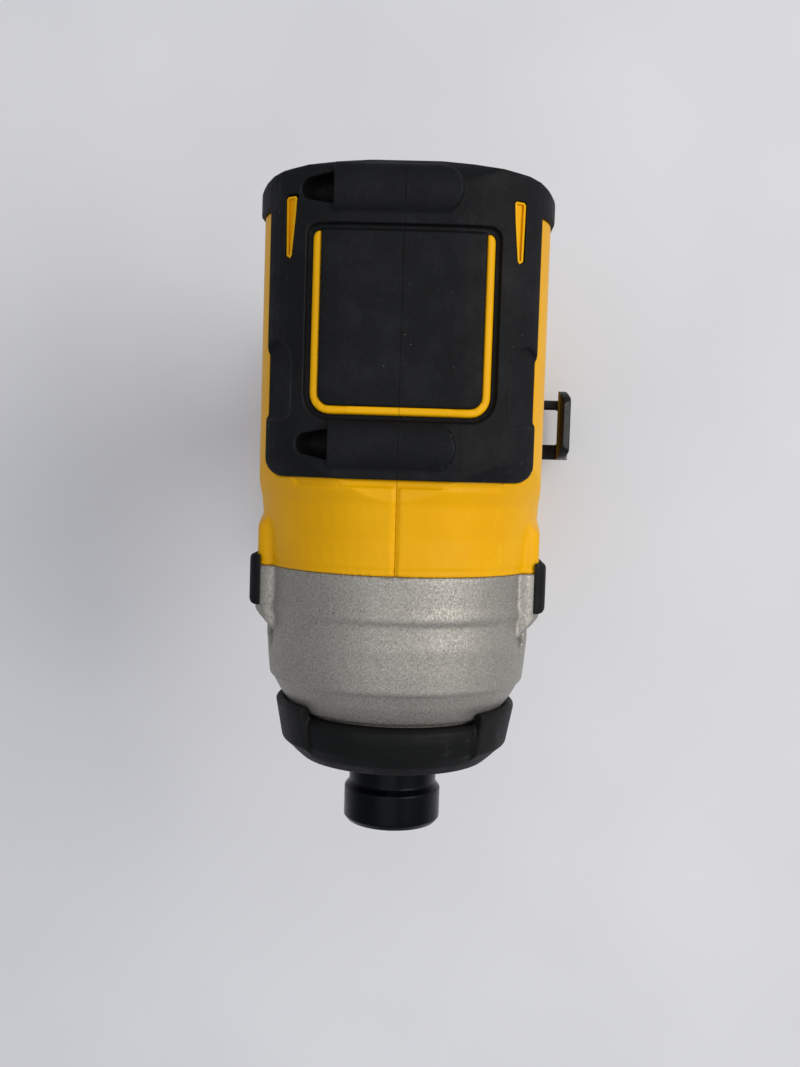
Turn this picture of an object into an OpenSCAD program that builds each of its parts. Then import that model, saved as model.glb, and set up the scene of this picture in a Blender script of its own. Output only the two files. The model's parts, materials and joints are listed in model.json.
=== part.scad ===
// Cordless impact driver, bare tool, on its spindle axis with the bit socket mouth at the origin

/* [Head] */
// Length of the tool from the socket mouth to the back
tool_length = 141; // [130:1:155]
// Radius of the gear case at its shoulder
case_radius = 28.5; // [26:0.1:31]
// Thickness of the gear case wall
case_wall = 2.95; // [2.4:0.05:3.4]
// Step from the gear case out to the side of the barrel
barrel_side = 0.7; // [0.4:0.1:1.5]
// Rise of the barrel top over the gear case radius
barrel_rise = 1.9; // [1:0.1:3]
// Drop of the barrel underside below the gear case radius
barrel_drop = 1.5; // [0.8:0.1:3]
// Corner radius of the barrel section
barrel_corner = 19; // [14:0.5:23]
// Thickness of the rubber on the back and the grip
rubber = 1.6; // [1.2:0.1:2]

/* [Nose] */
// Radius of the anvil shaft
anvil_radius = 6; // [5.6:0.05:6.6]
// Depth of the collet sleeve over the anvil shaft
sleeve_rim = 4.5; // [3.8:0.1:5.5]
// Forward travel of the collet sleeve
sleeve_travel = 3.5; // [2.5:0.1:4]
// Width across the flats of the bit socket
hex_flats = 6.4; // [6.3:0.05:7]
// Radius of the nose bumper
bumper_radius = 25.1; // [23:0.1:27]

/* [Drive] */
// Gap between the hammer and the gear case wall
hammer_gap = 1.45; // [1:0.05:2]
// Rearward travel of the hammer
hammer_travel = 8; // [6:0.5:9]
// Radius of the spindle shaft
spindle_radius = 8; // [7:0.1:9]
// Radius of the rotor shaft
rotor_radius = 2.5; // [2.2:0.05:2.9]
// Thickness of the barrel wall beside the motor
motor_wall = 3.7; // [3:0.1:4.5]
// Number of fan blades
fan_blades = 13; // [9:1:15]

/* [Handle] */
// Half the width of the grip at its waist
grip_half_width = 16.3; // [14.5:0.1:18.5]
// Half the depth of the grip from front to back
grip_half_depth = 19.6; // [17.5:0.1:22]
// Half the width of the foot
foot_half_width = 32; // [28:0.1:37]
// Depth of the foot underside below the spindle axis
foot_bottom = 137; // [125:0.5:150]
// Half the width of the trigger
trigger_half_width = 9; // [8:0.1:10]
// Travel of the trigger
trigger_travel = 6; // [5:0.25:7]
// Sideways travel of the direction bar each way
selector_travel = 3; // [2:0.25:3.5]

/* [Hook] */
// Thickness of the belt hook strap
hook_thick = 2.2; // [1.6:0.1:2.8]
// Width of the belt hook strap
hook_width = 19; // [15:0.2:24]
// Reach of the belt hook out from the foot
hook_reach = 14.5; // [12:0.5:18]

/* [Hidden] */
$fn = 72;
// Gap between seated pieces, between running pieces and round the trigger
fit = 0.05;
run = 0.06;
tip_clear = 0.3;
// Stations along X are written for a tool 141 long and stretched from there
stretch = tool_length / 141;
// Plan sizes on the barrel are written for a gear case of radius 28.5
girth = case_radius / 28.5;
// Barrel section, and how far its rubber stands proud
barrel_half_width = case_radius + barrel_side;
barrel_top = case_radius + barrel_rise;
barrel_bottom = case_radius + barrel_drop;
lift = 0.75;
rubber_seat = rubber - fit;
// Depths on the handle and foot are written for a foot 137 down and moved from there
function low(z) = -barrel_bottom + (z + 30) * (foot_bottom - barrel_bottom) / 107;
// Station where the gear case meets the housing, and the back of the barrel
x_band = -56.8;
x_rear = -tool_length / stretch;
// Nose
neck_r = anvil_radius + 1;
bush_r = anvil_radius + 3.5;
hub_r = anvil_radius + 4.5;
nose_r = anvil_radius + 6.5;
sleeve_radius = anvil_radius + sleeve_rim;
nose_step = bumper_radius - nose_r;
seat_r = nose_r + nose_step * 0.675;
light_r = nose_r + nose_step * 0.53;
// A radius in from the bumper's rim, written for a step of 12.6 from the nose
function rim(depth) = bumper_radius - depth * nose_step / 12.6;
lens_orbit = (light_r + nose_r) / 2;
lens_r = min(2.1, (light_r - nose_r) * 0.38);
hex_r = hex_flats / sqrt(3);
ball_r = 1.6;
ball_x = -8.75;
ball_orbit = anvil_radius - ball_r;
land_x = -3.5 - sleeve_travel;
// Gear case and the drive inside it
skirt_r = case_radius - 2.6;
chamber_r = skirt_r - case_wall;
ring_out = chamber_r - fit;
hammer_radius = chamber_r - hammer_gap;
hammer_back = hammer_travel - 72;
spring_out = hammer_radius - 3.5;
spring_in = spindle_radius + 3.8;
cam_ball = 3;
cam_x = -49.6;
sun_teeth = 9;
planet_teeth = 27;
ring_teeth = sun_teeth + 2 * planet_teeth;
tooth_module = (ring_out - 3.4) / (ring_teeth / 2 + 1);
sun_r = tooth_module * sun_teeth / 2;
planet_orbit = tooth_module * (sun_teeth + planet_teeth) / 2;
carrier = tooth_module / 0.6;
pin_r = 2.5 * carrier;
post_r = 3 * carrier;
post_orbit = planet_orbit + 2.8 * carrier;
journal_r = 8.5 * carrier;
case_bolt_y = 26.4 * girth;
case_bolt_z = 9.5 * girth;
pad_half = case_bolt_z + 3;
// Motor
stator_radius = barrel_half_width - motor_wall;
motor = stator_radius / 25.5;
rotor_core_r = 13.2 * motor;
fan_r = 22 * motor;
// Housing screws: x, z, head seat y, tip y
screws = [
  [-130.9, barrel_top - 3.4, -10.5, 9],
  [-82.2, barrel_top - 3.4, -10.5, 9],
  [-113, low(-30.5), -9, 9],
  [-103, low(-84), -9, 9],
  [-119.5, low(-119.5), 14 - foot_half_width, 12],
  [-54, low(-121.5), 14 - foot_half_width, 12]
];
screw_r = 1.5;
head_r = 2.9;
head_t = 2.2;
boss_r = 4;
// Handle stations: z, centre x, half depth, half width
gd = grip_half_depth - 19.6;
gw = grip_half_width - 16.3;
stations = [
  [low(-14), -95, 27 + gd, 19 + gw],
  [low(-24), -95.6, 25.8 + gd, 18.6 + gw],
  [low(-34), -97.4, 23.4 + gd, 17.8 + gw],
  [low(-45), -100.6, 20.7 + gd, 16.7 + gw],
  [low(-60), -102.5, 19.6 + gd, 16.3 + gw],
  [low(-78), -103, 19.9 + gd, 16.5 + gw],
  [low(-93), -101.6, 20.6 + gd, 17.3 + gw],
  [low(-103), -98.5, 24 + gd, 20 + gw],
  [low(-110), -94, 29 + gd, 23.5 + gw],
  [low(-117), -90, 33 + gd, 26 + gw]
];
section_points = 36;
section_power = 2.6;
// Switch, direction bar and hook places
switch_x = -91 - trigger_travel;
stem_z = low(-52);
bar_x = -86;
bar_z = low(-35);
bar_half = grip_half_width + 2.2 + selector_travel;
insert_x = -90.7;
insert_z = low(-121.5);
hook_x = insert_x * stretch;
hook_y = foot_half_width + fit + hook_thick / 2;
hook_far = hook_y + hook_reach;
hook_low = low(-129);

// Points on an arc and on a rounded rectangle
function arc(cx, cy, r, a0, a1, n) =
  [for (i = [0:n]) [cx + r * cos(a0 + (a1 - a0) * i / n), cy + r * sin(a0 + (a1 - a0) * i / n)]];
function rounded(x0, y0, x1, y1, r, n = 8) = concat(
  arc(x1 - r, y1 - r, r, 0, 90, n), arc(x0 + r, y1 - r, r, 90, 180, n),
  arc(x0 + r, y0 + r, r, 180, 270, n), arc(x1 - r, y0 + r, r, 270, 360, n));
function blend(a, b, share) = a + (b - a) * share;
// Outlines stretched along X, on the barrel also across, and turned profiles stretched along the axis
function lengthwise(points) = [for (p = points) [p[0] * stretch, p[1]]];
function barrel_plan(points) = [for (p = points) [p[0] * stretch, p[1] * girth]];
function axial(points) = [for (p = points) [p[0], p[1] * stretch]];
// A strip of even thickness along a path
function unit(v) = v / norm(v);
function side_of(p, i) = let (
  a = p[max(i - 1, 0)], b = p[min(i + 1, len(p) - 1)], d = unit(b - a)) [-d[1], d[0]];
function strip(p, t) = concat(
  [for (i = [0:len(p) - 1]) p[i] + side_of(p, i) * t / 2],
  [for (i = [len(p) - 1:-1:0]) p[i] - side_of(p, i) * t / 2]);
// Involute tooth outline of a gear
function involute(a) = tan(a) * 180 / PI - a;
function half_tooth(r, z, pitch, base, thin) = 90 / z - thin / pitch * 90 / PI
  + involute(acos(base / pitch)) - involute(acos(min(1, base / r)));
function gear_points(z, m, up, down, thin) = let (
  pitch = m * z / 2, base = pitch * cos(25), low_r = pitch - down, high = pitch + up,
  steps = [for (i = [0:3]) max(low_r, base) + (high - max(low_r, base)) * i / 3],
  radii = low_r < base ? concat([low_r], steps) : steps, n = len(radii) - 1)
  [for (k = [0:z - 1], i = [0:2 * n + 1])
    let (j = i <= n ? i : 2 * n + 1 - i, r = radii[j],
      a = 360 * k / z + (i <= n ? -1 : 1) * half_tooth(r, z, pitch, base, thin))
    [r * cos(a), r * sin(a)]];
// Wire radius that leaves a gap between the turns of a spring
function wire_of(most, length, turns) = min(most, length * stretch / (2.4 * turns + 2));

// Bodies turned about the spindle axis and profiles drawn out along X, Y or Z
module turned(points) rotate([0, 90, 0]) rotate_extrude() polygon(axial(points));
module tube_x(x0, x1, outer, inner) turned([[inner, x0], [outer, x0], [outer, x1], [inner, x1]]);
module rod_x(x0, x1, r) translate([x0 * stretch, 0, 0]) rotate([0, 90, 0])
  cylinder(h = (x1 - x0) * stretch, r = r);
module rod_y(x, z, y0, y1, r) translate([x * stretch, y1, z]) rotate([90, 0, 0])
  cylinder(h = y1 - y0, r = r);
module along_x(x0, x1) translate([x0 * stretch, 0, 0]) rotate([90, 0, 90])
  linear_extrude((x1 - x0) * stretch) children();
module along_y(y0, y1) translate([0, y1, 0]) rotate([90, 0, 0]) linear_extrude(y1 - y0) children();
module along_z(z0, z1) translate([0, 0, z0]) linear_extrude(z1 - z0) children();
module box(x0, x1, y0, y1, z0, z1) translate([x0 * stretch, y0, z0])
  cube([(x1 - x0) * stretch, y1 - y0, z1 - z0]);
module round_about_x(n, start = 0) for (k = [0:n - 1]) rotate([start + 360 * k / n, 0, 0]) children();
module both_sides() for (s = [0, 1]) mirror([0, s, 0]) children();

// A wound wire about the X axis between two stations
module coil(x0, x1, mean, wire, turns, sides = 6, steps = 20) {
  n = round(turns * steps);
  length = (x1 - x0) * stretch - 2 * wire;
  points = [for (i = [0:n], j = [0:sides - 1])
    let (a = 360 * i / steps, b = 360 * j / sides, r = mean + wire * cos(b))
    [x0 * stretch + wire + length * i / n + wire * sin(b), r * cos(a), r * sin(a)]];
  walls = [for (i = [0:n - 1], j = [0:sides - 1], h = [0:1])
    let (k = (j + 1) % sides, p = i * sides, q = p + sides)
    h == 0 ? [p + j, p + k, q + j] : [p + k, q + k, q + j]];
  ends = [[for (j = [sides - 1:-1:0]) j], [for (j = [0:sides - 1]) n * sides + j]];
  polyhedron(points, concat(walls, ends));
}

// Rotor and its bearings
module rotor_shaft() color([0.62, 0.63, 0.66]) union() {
  along_x(-82, -75.2)
    polygon(gear_points(sun_teeth, tooth_module, 0.75 * tooth_module, tooth_module, 0.1));
  rod_x(-84.2, -81.5, sun_r - tooth_module);
  rod_x(-137.4, -84, rotor_radius);
}
module rotor_core() color([0.45, 0.46, 0.48]) difference() {
  tube_x(-121, -97, rotor_core_r, rotor_radius + fit / 2);
  round_about_x(4) box(-122, -96, -5.8 * motor, 5.8 * motor, 9.5 * motor, 11.6 * motor);
}
module rotor_magnets() color([0.3, 0.3, 0.33]) round_about_x(4)
  box(-120.8, -97.2, fit - 5.8 * motor, 5.8 * motor - fit, 9.5 * motor + fit, 11.6 * motor - fit);
module cooling_fan() color([0.12, 0.12, 0.13]) union() {
  tube_x(-126.6, -125.3, fan_r, rotor_radius + fit / 2);
  tube_x(-131.2, -126.5, rotor_radius + 3.5, rotor_radius + fit / 2);
  round_about_x(fan_blades) translate([0, 9 * motor, 0]) rotate([-24, 0, 0])
    box(-131.2, -126.4, 0, 12 * motor, -0.6, 0.6);
}
module bearing(x0, x1, outer, inner) {
  gap = (outer - inner) * 0.28;
  difference() {
    tube_x(x0, x1, outer, inner);
    tube_x(x1 - 0.5, x1 + 1, outer - gap, inner + gap);
    tube_x(x0 - 1, x0 + 0.5, outer - gap, inner + gap);
  }
}
module front_bearing() color([0.7, 0.71, 0.73]) bearing(-91.4, -87.7, 8, rotor_radius + fit / 2);
module rear_bearing() color([0.7, 0.71, 0.73]) bearing(-137.2, -133.5, 7, rotor_radius + fit / 2);
module spindle_bearing() color([0.7, 0.71, 0.73])
  bearing(-87.1, -83.3, 13 * carrier, journal_r + fit / 2);

// Motor stator
module stator_core() color([0.4, 0.41, 0.43]) union() {
  tube_x(-121, -97, stator_radius, 20 * motor);
  intersection() {
    tube_x(-121, -97, 20.5 * motor, 13.7 * motor);
    round_about_x(6) union() {
      box(-121, -97, -2.6 * motor, 2.6 * motor, 12 * motor, 21 * motor);
      box(-121, -97, -6 * motor, 6 * motor, 11 * motor, 15.2 * motor);
    }
  }
}
module stator_windings() color([0.72, 0.4, 0.2]) round_about_x(6) difference() {
  box(-124.2, -93.8, -5.4 * motor, 5.4 * motor, 15.5 * motor, 19.2 * motor);
  box(-121.05, -96.95, -2.6 * motor - fit, 2.6 * motor + fit, 15 * motor, 20 * motor);
}
module motor_board() color([0.1, 0.35, 0.2]) difference() {
  tube_x(-92.8, -91.6, stator_radius - 1.5, 9);
  round_about_x(3, 60) translate([0, 0, stator_radius - 5.5]) rod_x(-97, -90, 1.6);
}

// Planet reduction
module ring_gear() color([0.6, 0.61, 0.63]) along_x(-81.9, -75.2) difference() {
  circle(r = ring_out);
  polygon(gear_points(ring_teeth, tooth_module, tooth_module, 0.75 * tooth_module, -0.1));
}
module at_planet(k) rotate([120 * k, 0, 0]) translate([0, planet_orbit, 0]) children();
module planet_gear(k) at_planet(k) along_x(-81.3, -75.3) difference() {
  polygon(gear_points(planet_teeth, tooth_module, 0.75 * tooth_module, tooth_module, 0.1));
  circle(r = pin_r + run);
}
module planet_gear_1() color([0.66, 0.66, 0.68]) planet_gear(0);
module planet_gear_2() color([0.66, 0.66, 0.68]) planet_gear(1);
module planet_gear_3() color([0.66, 0.66, 0.68]) planet_gear(2);
module planet_pins() color([0.75, 0.75, 0.77])
  for (k = [0:2]) at_planet(k) rod_x(-82.8, -73.2, pin_r);
module gear_cover() color([0.16, 0.16, 0.17]) turned([
  [13 * carrier + fit / 2, -83.2], [ring_out, -83.2], [ring_out, -91.5], [8 + fit / 2, -91.5],
  [8 + fit / 2, -87.6], [6.4, -87.6], [6.4, -87.2], [13 * carrier + fit / 2, -87.2]]);

// Spindle, hammer and spring
module spindle() color([0.68, 0.68, 0.7]) difference() {
  union() {
    turned([[0, -40], [3, -40], [3.5, -40.8], [3.5, -46], [spindle_radius, -46], [spindle_radius, -73],
      [19 * carrier, -73], [19 * carrier, -75], [0, -75]]);
    turned([[0, -81.5], [17 * carrier, -81.5], [17 * carrier, -83], [journal_r, -83],
      [journal_r, -87], [0, -87]]);
    for (k = [0:2]) rotate([120 * k + 60, 0, 0]) translate([0, post_orbit, 0])
      rod_x(-82, -74.5, post_r);
  }
  rod_x(-90, -74.2, 4.4 * carrier);
  for (k = [0:2]) at_planet(k) rod_x(-84, -73.15, pin_r + fit / 2);
  both_sides() rod_y(cam_x, 0, spindle_radius - 2.65, 20, cam_ball + fit);
}
module cam_balls() color([0.8, 0.8, 0.82]) both_sides()
  translate([cam_x * stretch, spindle_radius + 0.4, 0]) sphere(r = cam_ball);
module spring_washer() color([0.6, 0.6, 0.62])
  tube_x(-72.95, -72.1, spring_out + 0.3, spindle_radius + fit);
module hammer_spring() color([0.5, 0.52, 0.56]) coil(-72.05, -54.05, (spring_out + spring_in) / 2,
  wire_of((spring_out - spring_in) * 0.24, 18, 4), 4);
module hammer() color([0.36, 0.36, 0.38]) difference() {
  union() {
    turned([[spindle_radius + run, -46.5], [hammer_radius - 1, -46.5], [hammer_radius, -47.5],
      [hammer_radius, hammer_back + 1], [hammer_radius - 1, hammer_back], [spring_out, hammer_back],
      [spring_out, -54], [spring_in, -54], [spring_in, hammer_back],
      [spindle_radius + run, hammer_back]]);
    intersection() {
      rod_x(-47, -38.5, hammer_radius - 1);
      both_sides() box(-47, -38.5, hub_r + 1.5, hammer_radius, -5.5, 5.5);
    }
  }
  both_sides() translate([0, spindle_radius + 0.4, 0])
    rod_x(cam_x - (cam_ball + 0.1) / stretch, -46, cam_ball + 0.1);
}

// Anvil, bit socket and collet
module anvil() color([0.3, 0.3, 0.33]) difference() {
  union() {
    turned([[0, 0], [anvil_radius - 0.6, 0], [anvil_radius, -0.6], [anvil_radius, -1.95],
      [anvil_radius - 0.8, -1.95], [anvil_radius - 0.8, -2.85], [anvil_radius, -2.85],
      [anvil_radius, -17.4], [neck_r, -17.9], [neck_r, -36.45], [hub_r, -36.45], [hub_r, -44], [0, -44]]);
    intersection() {
      rod_x(-44, -36.5, hammer_radius - 1.5);
      box(-44, -36.5, -5.5, 5.5, -hammer_radius, hammer_radius);
    }
  }
  along_x(-25, 1) circle(r = hex_r, $fn = 6);
  rod_x(-45, -39.5, 3.5 + run);
  for (s = [0, 1]) mirror([0, 0, s]) translate([ball_x * stretch, 0, 2.6])
    cylinder(r = ball_r + fit, h = 6.4);
}
module detent_balls() color([0.8, 0.8, 0.82])
  for (s = [-1, 1]) translate([ball_x * stretch, 0, s * ball_orbit]) sphere(r = ball_r);
module retaining_ring() color([0.55, 0.55, 0.58]) difference() {
  tube_x(-2.8, -2, anvil_radius + 2, anvil_radius - 0.8 + fit);
  box(-4, 0, -1, 1, 0, 12);
}
module sleeve_spring() color([0.6, 0.62, 0.66]) coil(land_x + fit, -2.85, anvil_radius + 1.15,
  wire_of(0.42, sleeve_travel + 0.6, 3), 3);
module collet_sleeve() color([0.17, 0.18, 0.21]) turned([
  [anvil_radius + 2.3, -0.5], [sleeve_radius - 0.9, -0.5], [sleeve_radius, -1.6],
  [sleeve_radius, -8], [sleeve_radius - 1, -9.3], [sleeve_radius - 1, -14.2],
  [sleeve_radius - 1.5, -14.8], [anvil_radius + 1.6, -14.8], [anvil_radius + 1.6, -10.5],
  [anvil_radius + run, -10.5], [anvil_radius + run, land_x], [anvil_radius + 2.3, land_x]]);
module nose_bush() color([0.72, 0.6, 0.35]) turned([
  [neck_r + run, -18.1], [bush_r - 0.3, -18.1], [bush_r, -18.5], [bush_r, -35], [neck_r + run, -35]]);
module anvil_washer() color([0.6, 0.6, 0.62]) tube_x(-36.35, -35.1, hub_r + 1.5, neck_r + run);

// Gear case with four screw ears, and what is fixed to it
case_line = [[nose_r, -16.8], [nose_r, -19.5], [seat_r, -19.5], [seat_r, -26], [seat_r + 1.6, -26.2],
  [blend(seat_r + 1.6, case_radius - 0.6, 0.5), -29.8],
  [blend(seat_r + 1.6, case_radius - 0.6, 0.8), -32.7], [case_radius - 1, -33.2], [case_radius - 0.6, -37],
  [case_radius - 0.2, -42], [case_radius - 0.3, -47], [case_radius + 0.2, -47.8],
  [case_radius + 0.2, -49.2], [case_radius - 0.1, -50], [case_radius - 0.1, x_band],
  [skirt_r, x_band], [skirt_r, -76]];
case_bore = [[chamber_r, -76], [chamber_r, -36.4], [hub_r + 1.5 + fit, -36.4],
  [hub_r + 1.5 + fit, -35.05], [bush_r + fit / 2, -35.05], [bush_r + fit / 2, -16.8]];
module case_bolts() for (a = [-1, 1], b = [-1, 1])
  translate([0, a * case_bolt_y, b * case_bolt_z]) children();
module case_ear() turned([[0, -62], [3.5, -62], [3.5, -42.8], [0, -42.8]]);
module gear_case() color([0.62, 0.61, 0.59]) difference() {
  union() {
    turned(concat(case_line, case_bore));
    difference() {
      intersection() {
        case_bolts() case_ear();
        both_sides() along_z(-40, 40) polygon(lengthwise([[-70, 0], [-70, case_bolt_y + 9],
          [-47.6, case_bolt_y + 3.6], [-43, case_bolt_y - 1.2], [-43, 0]]));
      }
      rod_x(-63, -40, case_radius - 1);
      box(-70, x_band, -50, 50, -50, 50);
    }
  }
  case_bolts() turned([[0, -60], [1.6 + fit, -60], [1.6 + fit, -50.5], [2.8 + fit, -50.5],
    [2.8 + fit, -43], [0, -38.6]]);
}
module gear_case_screws() color([0.45, 0.45, 0.47]) case_bolts() difference() {
  turned([[0, -64.5], [1.6, -64.5], [1.6, -50.45], [2.8, -50.45], [2.8, -49.1], [2.4, -48.7],
    [0, -48.7]]);
  along_x(-49.7, -48) circle(r = 1.5, $fn = 6);
}
module light_ring() color([0.2, 0.2, 0.21]) difference() {
  turned([[nose_r + fit, -19.45], [light_r, -19.45], [light_r, -17], [light_r - 0.6, -16.4],
    [nose_r + 0.9, -16.4], [nose_r + fit, -17]]);
  round_about_x(3) translate([0, 0, lens_orbit]) rod_x(-18.4, -16, lens_r + fit);
}
module light_lenses() color([0.9, 0.92, 0.93])
  round_about_x(3) translate([0, 0, lens_orbit]) rod_x(-18.35, -16.3, lens_r);
module nose_bumper() color([0.09, 0.09, 0.1]) union() {
  turned([[seat_r + fit, -25.5], [rim(1.5), -25.5], [rim(0.8), -24.6],
    [rim(0.8), -22.6], [rim(1.5), -19.4], [rim(2.9), -17.2],
    [light_r + nose_step * 0.1, -15.6], [light_r + 0.7, -15.2], [light_r + 0.1, -15.5],
    [light_r + 0.1, -19.4], [seat_r + fit, -19.4]]);
  difference() {
    for (s = [0, 180]) rotate([s - 44, 0, 0]) rotate([0, 90, 0]) rotate([0, 0, 90])
      rotate_extrude(angle = 88) polygon(axial([[rim(2), -25.5],
        [rim(1.2), -28], [rim(-0.2), -28.2], [rim(-0.9), -27.4],
        [rim(0.6), -19.3], [rim(2.8), -17.4], [seat_r + 1.1, -21]]));
    turned(concat([[0, -26]], [for (i = [3:8]) [case_line[i][0] + 0.2, case_line[i][1]]], [[0, -42]]));
  }
}

// Rubber pads beside the gear case, and the housing shoulders behind them
module pad_outline(grow) polygon(rounded(case_radius - 13.5, -pad_half - grow,
  case_bolt_y + 4.8 + grow, pad_half + grow, 3 + grow, 6));
module pad_block(grow) intersection() {
  along_x(-59.3 - grow, -48.4) pad_outline(grow);
  along_z(-40, 40) polygon(lengthwise(rounded(-59.3 - grow, -4, -48.4, case_bolt_y + 4.8 + grow, 1.4, 4)));
}
module pad_seat() difference() {
  pad_block(fit);
  rod_x(-62, -46, case_radius - 0.4);
  case_bolts() rod_x(-62, -46, 3.5);
}
module shoulder() intersection() {
  along_x(-69.5, x_band) polygon(rounded(case_radius - 13.5, -pad_half + 0.3,
    case_bolt_y + 3.2, pad_half - 0.3, 2.6, 6));
  turned([[case_radius - 8.5, -69.5], [case_radius - 0.3, -69.5], [case_radius + 3.1, -64.5],
    [case_radius + 4.5, -61], [case_radius + 4.5, x_band], [case_radius - 8.5, x_band]]);
}
module side_bumper() difference() {
  intersection() {
    pad_block(0);
    tube_x(-61, -47, case_radius + 5.5, case_radius - 8.5);
  }
  turned([[0, -62], [case_radius - 0.3, -62], [case_radius - 0.3, x_band - 0.6],
    [case_radius + 0.25, x_band - 0.6], [case_radius + 0.25, -46], [0, -46]]);
  case_bolts() rod_x(-62, -44, 3.5 + fit);
}
module side_bumper_left() color([0.1, 0.1, 0.11]) side_bumper();
module side_bumper_right() color([0.1, 0.1, 0.11]) mirror([0, 1, 0]) side_bumper();

// Barrel form and handle form, grown by t
rear_line = [[29.9, 9], [28.7, 6.8], [27.2, 5], [25.4, 3.6], [23, 2.6], [18, 1.5], [12, 0.7], [6, 0.2]];
top_line = [[0.7, 10], [0, 8.4], [-0.7, 7], [-1.7, 5.7], [-3.1, 4.5], [-5, 3.4], [-12, 0]];
rear_lean = 11;
function rear_edge(line, out, t) = [for (p = line) [x_rear + p[1] + lift - t, p[0] + out + t]];
function rear_outline(a, b) = lengthwise(concat(
  [[x_band + 40, 70], [x_rear + 30, 70]], a, [for (i = [len(b) - 1:-1:0]) [b[i][0], -b[i][1]]],
  [[x_rear + 30, -70], [x_band + 40, -70]]));
module rear_plan(t, lean) translate([x_rear * stretch, 0, sign(lean) * 8]) rotate([0, lean, 0])
  translate([-x_rear * stretch, 0, 0]) along_z(-90, 90) polygon(rear_outline(
    rear_edge(rear_line, barrel_half_width - 29.2, t), rear_edge(rear_line, barrel_half_width - 29.2, t)));
module barrel(t) intersection() {
  along_x(x_rear - 3, x_band) polygon(rounded(-barrel_half_width - t, -barrel_bottom - t,
    barrel_half_width + t, barrel_top + t, barrel_corner + t, 14));
  turned([[0, x_band], [case_radius + 0.3 + t, x_band], [case_radius + 0.6 + t, -64],
    [case_radius + 1.7 + t, -71], [case_radius + 8 + t, -84], [case_radius + 8 + t, x_rear - 4],
    [0, x_rear - 4]]);
  rear_plan(t, 0);
  rear_plan(t, rear_lean);
  rear_plan(t, -rear_lean);
  along_y(-70, 70) polygon(rear_outline(rear_edge(top_line, barrel_top, t),
    rear_edge(top_line, barrel_bottom, t)));
}
module grip_form(t) {
  n = section_points;
  m = len(stations);
  e = 2 / section_power;
  points = [for (s = stations, i = [0:n - 1]) let (c = cos(360 * i / n), d = sin(360 * i / n))
    [(s[1] + s[2] * sign(c) * pow(abs(c), e)) * stretch + t * sign(c) * pow(abs(c), e),
      (s[3] + t) * sign(d) * pow(abs(d), e), s[0]]];
  walls = [for (k = [0:m - 2], i = [0:n - 1], h = [0:1])
    let (j = (i + 1) % n, p = k * n, q = p + n)
    h == 0 ? [p + i, p + j, q + i] : [p + j, q + j, q + i]];
  ends = [[for (i = [n - 1:-1:0]) i], [for (i = [0:n - 1]) (m - 1) * n + i]];
  polyhedron(points, concat(walls, ends));
}
module foot_form() intersection() {
  along_z(-foot_bottom, low(-105))
    polygon(lengthwise(rounded(-126, -foot_half_width, -47, foot_half_width, 9)));
  along_y(-60, 60) polygon(lengthwise([[-126, low(-150)], [-47, low(-150)], [-47, low(-122)],
    [-55, low(-113.5)], [-72, low(-111)], [-112, low(-111)], [-126, low(-118)]]));
  along_x(-130, -40) polygon([[foot_half_width, low(-150)], [foot_half_width, low(-117)],
    [foot_half_width - 8, low(-110.5)], [8 - foot_half_width, low(-110.5)],
    [-foot_half_width, low(-117)], [-foot_half_width, low(-150)]]);
}

// Where the rubber lies, and the lines in it
module rear_zone() {
  box(x_rear - 5, -128, -60, 60, -45, 60);
  intersection() {
    along_x(-129, -75.7) polygon([[0, -1], [60, 50], [60, 80], [-60, 80], [-60, 50]]);
    along_z(-5, 60) polygon(barrel_plan(rounded(-160, -27.2, -75.7, 27.2, 4.2)));
  }
}
module grip_zone() along_y(-50, 50) polygon(lengthwise([[-140, low(-33.5)], [-107, low(-33.5)],
  [-104, low(-36.5)], [-104, low(-68.5)], [-101, low(-71.5)], [-60, low(-71.5)], [-60, low(-99)],
  [-140, low(-103)]]));
module on_top() along_z(barrel_top - 10.4, barrel_top + 10) children();
function panel_shape(x0, x1, half, back, front) = concat(
  arc(x1 - front, half - front, front, 0, 90, 8), arc(x0 + back, half - back, back, 90, 180, 4),
  arc(x0 + back, back - half, back, 180, 270, 4), arc(x1 - front, front - half, front, 270, 360, 8));
module panel_line(gap) on_top() difference() {
  polygon(barrel_plan(panel_shape(-123 + gap, -88 - gap, 17.5 - gap, 1.2, 4)));
  polygon(barrel_plan(rounded(-140, -15.8 - gap, -89.7 + gap, 15.8 + gap, 2.4)));
}
module panel_groove() difference() {
  on_top() difference() {
    polygon(barrel_plan(panel_shape(-124.3, -86.9, 18.6, 2, 5)));
    polygon(barrel_plan(panel_shape(-123, -88.2, 17.3, 1.1, 3.9)));
  }
  barrel(lift - 1.3);
}
module slits() both_sides() along_z(10, barrel_top + 10) polygon(barrel_plan([[-129.9, 21.2],
  [-129.4, 20.8], [-126, 21], [-118.4, 21.7], [-117.8, 22.2], [-118.4, 23.1], [-129.5, 23.3],
  [-129.9, 22.9]]));
module pill(x) intersection() {
  translate([x * stretch, 0, barrel_top - 0.1]) along_y(-13.5, 11)
    polygon([for (i = [0:31]) [4.9 * cos(i * 11.25), (1.7 + lift) * sin(i * 11.25)]]);
  on_top() polygon(concat(arc(x * stretch, 6.1, 4.9, 0, 180, 12),
    [[x * stretch - 4.9, -13.5], [x * stretch + 4.9, -13.5]]));
}
module pocket() translate([-94 * stretch, barrel_half_width - barrel_corner, barrel_top - barrel_corner])
  rotate([43, 0, 0]) translate([0, barrel_corner + lift - 0.95, 0]) rotate([-90, 0, 0]) linear_extrude(9)
    polygon(concat(arc(-4, 0, 4.2, 90, 270, 10), [[6, -4.2], [7, -3.2], [7, 3.2], [6, 4.2]]));
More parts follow.
